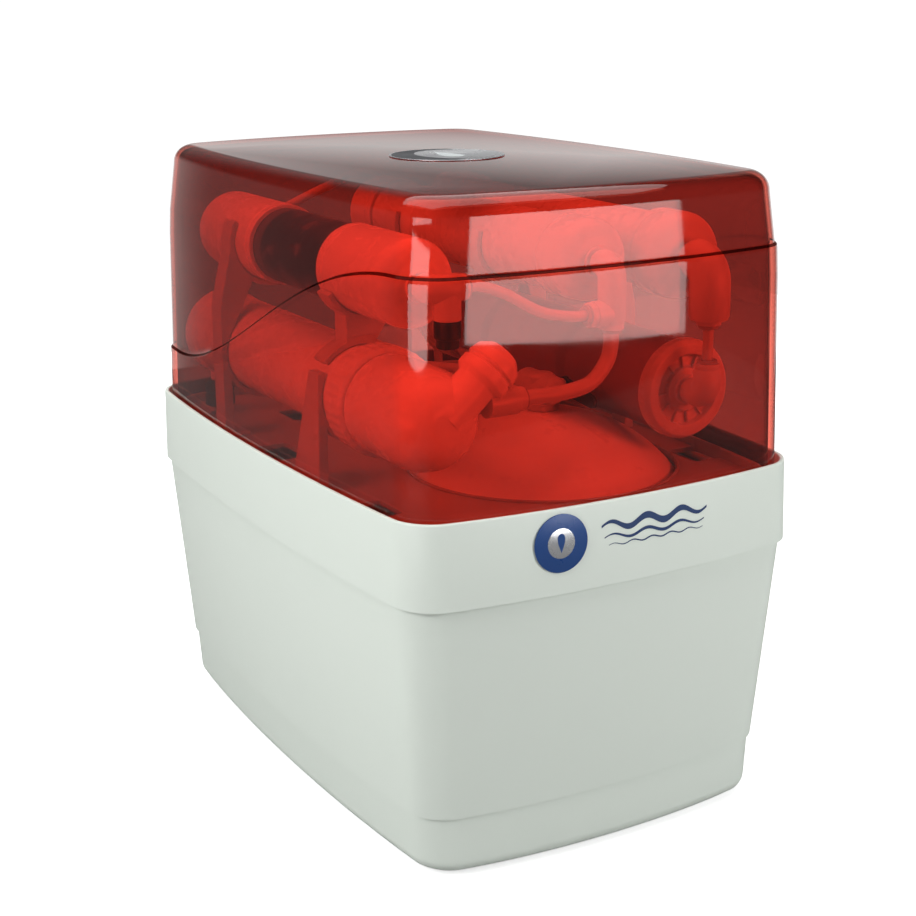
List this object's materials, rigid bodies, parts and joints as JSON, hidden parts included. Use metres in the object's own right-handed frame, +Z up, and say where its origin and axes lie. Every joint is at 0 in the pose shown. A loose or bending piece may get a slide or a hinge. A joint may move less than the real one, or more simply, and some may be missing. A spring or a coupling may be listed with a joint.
{
  "type": "closed-case reverse osmosis water purifier",
  "caption": "Under-sink water purifier in a white bowed cabinet with a raised band and a clear red lift-off hood over in-line filters, a membrane housing and a domed tank",
  "frame": {"origin": "centre of the footprint, on the surface that the feet stand on", "axes": "+Z is up, -Y is the front with the round badge, X runs across the narrow width"},
  "size_m": [0.289, 0.4212, 0.4009],
  "materials": {
    "case_white": "satin moulded plastic, white with a faint green-grey cast",
    "fitting_white": "satin white plastic of the housings, caps, elbows and brackets",
    "hood_red": "clear deep-red plastic, polished",
    "foot_rubber": "black rubber",
    "badge_blue": "printed blue disc",
    "badge_silver": "thin silvery disc",
    "label_dark": "dark printed film wrapped round a filter",
    "fitting_black": "black plastic",
    "diaphragm_rubber": "grey butyl rubber",
    "membrane_wrap": "taped outer wrap of the wound membrane",
    "tube_white": "white polyethylene water tube"
  },
  "bodies": {
    "case": {"base_pan": "case_white", "bracket_left_rear": "fitting_white", "bracket_right_front": "fitting_white", "bracket_right_rear": "fitting_white", "double_clip_left": "fitting_white", "elbow_lower_right_front": "fitting_white", "elbow_lower_right_rear": "fitting_white", "elbow_membrane_rear": "fitting_white", "elbow_upper_left_rear": "fitting_white", "elbow_upper_mid_rear": "fitting_white", "elbow_upper_right_front": "fitting_white", "elbow_upper_right_rear": "fitting_white", "filter_deck": "case_white", "flow_restrictor": "fitting_black", "foot_front_left": "foot_rubber", "foot_front_right": "foot_rubber", "foot_rear_left": "foot_rubber", "foot_rear_right": "foot_rubber", "front_badge": "badge_blue", "lower_cabinet": "case_white", "lower_right_filter_body": "fitting_white", "lower_right_filter_front_cap": "fitting_white", "lower_right_filter_label": "label_dark", "lower_right_filter_rear_cap": "fitting_white", "membrane_cap": "fitting_white", "membrane_element": "membrane_wrap", "membrane_housing": "fitting_white", "membrane_ring_nut": "fitting_white", "port_drain": "fitting_white", "port_feed": "fitting_white", "port_product": "fitting_white", "saddle_left_front": "fitting_white", "tank_diaphragm": "diaphragm_rubber", "tank_lower_shell": "fitting_white", "tank_upper_shell": "fitting_white", "tank_valve_body": "fitting_white", "tee_upper_left_front": "fitting_white", "tee_upper_mid_front": "fitting_white", "trim_band": "case_white", "tube_drain": "tube_white", "tube_feed": "tube_white", "tube_front_cross": "tube_white", "tube_membrane_loop": "tube_white", "tube_permeate": "tube_white", "tube_product": "tube_white", "tube_rear_cross": "tube_white", "tube_right_link": "tube_white", "upper_left_filter_body": "fitting_white", "upper_left_filter_front_cap": "fitting_white", "upper_left_filter_label": "label_dark", "upper_left_filter_rear_cap": "fitting_white", "upper_mid_filter_body": "fitting_white", "upper_mid_filter_front_cap": "fitting_white", "upper_mid_filter_rear_cap": "fitting_white", "upper_right_filter_body": "fitting_white", "upper_right_filter_front_cap": "fitting_white", "upper_right_filter_rear_cap": "fitting_white"},
    "hood_cover": {"hood": "hood_red", "top_badge": "badge_silver"},
    "valve_lever": {"tank_valve_lever": "fitting_black"}
  },
  "joints": [
    {"name": "hood_lift", "type": "slide", "parent": "case", "child": "hood_cover", "axis": [0, 0, 1], "range_m": [0, 0.21]},
    {"name": "valve_turn", "type": "hinge", "parent": "case", "child": "valve_lever", "pos_m": [0.0355, -0.088, 0.2605], "axis": [-1, 0, 0], "range_deg": [0, 90]}
  ]
}
